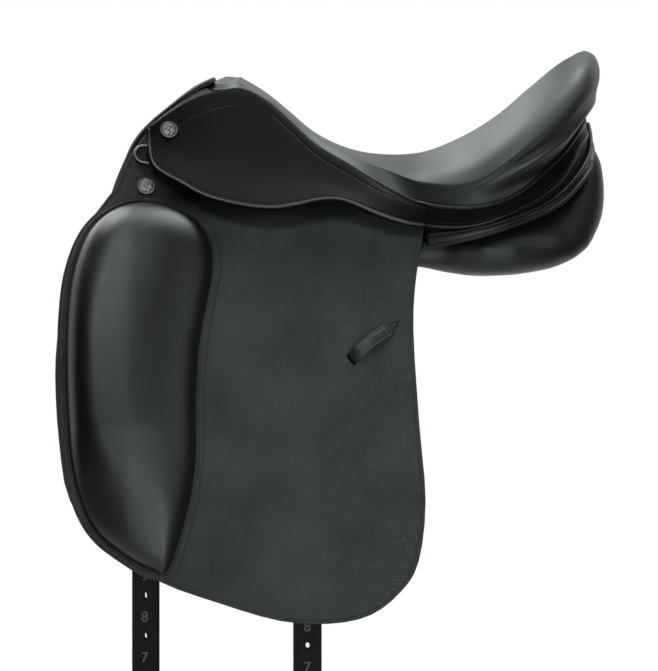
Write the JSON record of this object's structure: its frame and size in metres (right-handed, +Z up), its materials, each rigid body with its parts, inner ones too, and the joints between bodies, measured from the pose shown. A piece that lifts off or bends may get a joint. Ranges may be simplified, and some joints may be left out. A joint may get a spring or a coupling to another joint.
{
  "type": "dressage saddle",
  "caption": "Black leather dressage saddle with a deep dished seat, long straight flaps, external thigh blocks, lifting skirts, stirrup bars and long girth billets.",
  "frame": {"origin": "on the mid plane, level with the lowest line of the panels, under the front of the seat's dip", "axes": "+X forwards to the pommel, +Y to the horse's left, +Z up"},
  "size_m": [0.569, 0.4936, 0.9386],
  "materials": {
    "soft_leather": "smooth black seat leather",
    "grained_leather": "matte grained black leather",
    "panel_leather": "soft black panel leather",
    "beech": "laminated beech",
    "steel": "plain steel",
    "bar_steel": "forged stainless steel",
    "nickel": "polished nickel",
    "webbing": "woven webbing"
  },
  "bodies": {
    "saddle": {"tree_rails": "beech", "tree_head": "beech", "gullet_plate": "steel", "tree_rivets": "steel", "seat_web": "webbing", "seat": "soft_leather", "cantle_band": "grained_leather", "panel_facing": "panel_leather", "pommel_facing": "grained_leather", "gullet_lining": "panel_leather", "panel_left": "panel_leather", "panel_right": "panel_leather", "point_pocket_left": "panel_leather", "point_pocket_right": "panel_leather", "flap_top_left": "grained_leather", "flap_top_right": "grained_leather", "sweat_flap_left": "grained_leather", "sweat_flap_right": "grained_leather", "skirt_top_left": "grained_leather", "skirt_top_right": "grained_leather", "skirt_stud_left": "nickel", "skirt_stud_right": "nickel", "point_stud_left": "nickel", "point_stud_right": "nickel", "dee_tab_left": "grained_leather", "dee_tab_right": "grained_leather", "stirrup_bar_left": "bar_steel", "stirrup_bar_right": "bar_steel", "bar_rivets_left": "steel", "bar_rivets_right": "steel", "catch_pin_left": "bar_steel", "catch_pin_right": "bar_steel"},
    "left_flap": {"flap_left": "grained_leather", "thigh_block_left": "soft_leather", "keeper_left": "grained_leather"},
    "left_skirt": {"skirt_left": "grained_leather"},
    "left_front_billet": {"front_billet_left": "grained_leather"},
    "left_rear_billet": {"rear_billet_left": "grained_leather"},
    "left_dee": {"dee_ring_left": "nickel"},
    "left_catch": {"bar_catch_left": "bar_steel"},
    "right_flap": {"flap_right": "grained_leather", "thigh_block_right": "soft_leather", "keeper_right": "grained_leather"},
    "right_skirt": {"skirt_right": "grained_leather"},
    "right_front_billet": {"front_billet_right": "grained_leather"},
    "right_rear_billet": {"rear_billet_right": "grained_leather"},
    "right_dee": {"dee_ring_right": "nickel"},
    "right_catch": {"bar_catch_right": "bar_steel"}
  },
  "joints": [
    {"name": "flap_lift_left", "type": "hinge", "parent": "saddle", "child": "left_flap", "pos_m": [0, 0.1312, 0.054], "axis": [0.9955, 0, 0.0952], "range_deg": [0, 55]},
    {"name": "skirt_lift_left", "type": "hinge", "parent": "saddle", "child": "left_skirt", "pos_m": [0.044, 0.1269, 0.099], "axis": [0.9665, -0.1036, 0.2347], "range_deg": [0, 90]},
    {"name": "front_billet_swing_left", "type": "hinge", "parent": "saddle", "child": "left_front_billet", "pos_m": [0.1925, 0.12932, 0.0582], "axis": [0, 1, 0], "range_deg": [-3, 3]},
    {"name": "rear_billet_swing_left", "type": "hinge", "parent": "saddle", "child": "left_rear_billet", "pos_m": [0.0244, 0.12838, 0.0441], "axis": [0, 1, 0], "range_deg": [-3, 3]},
    {"name": "dee_ring_turn_left", "type": "hinge", "parent": "saddle", "child": "left_dee", "pos_m": [0.1879, 0.10829, 0.11909], "axis": [-0.0824, -0.4995, 0.8624], "range_deg": [0, 40]},
    {"name": "bar_catch_turn_left", "type": "hinge", "parent": "saddle", "child": "left_catch", "pos_m": [0.04955, 0.13334, 0.07669], "axis": [-0.0437, 0.8881, 0.4576], "range_deg": [0, 60]},
    {"name": "flap_lift_right", "type": "hinge", "parent": "saddle", "child": "right_flap", "pos_m": [0, -0.1312, 0.054], "axis": [-0.9955, 0, -0.0952], "range_deg": [0, 55]},
    {"name": "skirt_lift_right", "type": "hinge", "parent": "saddle", "child": "right_skirt", "pos_m": [0.044, -0.1269, 0.099], "axis": [-0.9665, -0.1036, -0.2347], "range_deg": [0, 90]},
    {"name": "front_billet_swing_right", "type": "hinge", "parent": "saddle", "child": "right_front_billet", "pos_m": [0.1925, -0.12932, 0.0582], "axis": [0, 1, 0], "range_deg": [-3, 3]},
    {"name": "rear_billet_swing_right", "type": "hinge", "parent": "saddle", "child": "right_rear_billet", "pos_m": [0.0244, -0.12838, 0.0441], "axis": [0, 1, 0], "range_deg": [-3, 3]},
    {"name": "dee_ring_turn_right", "type": "hinge", "parent": "saddle", "child": "right_dee", "pos_m": [0.1879, -0.10829, 0.11909], "axis": [0.0824, -0.4995, -0.8624], "range_deg": [0, 40]},
    {"name": "bar_catch_turn_right", "type": "hinge", "parent": "saddle", "child": "right_catch", "pos_m": [0.04955, -0.13334, 0.07669], "axis": [0.0437, 0.8881, -0.4576], "range_deg": [0, 60]}
  ]
}
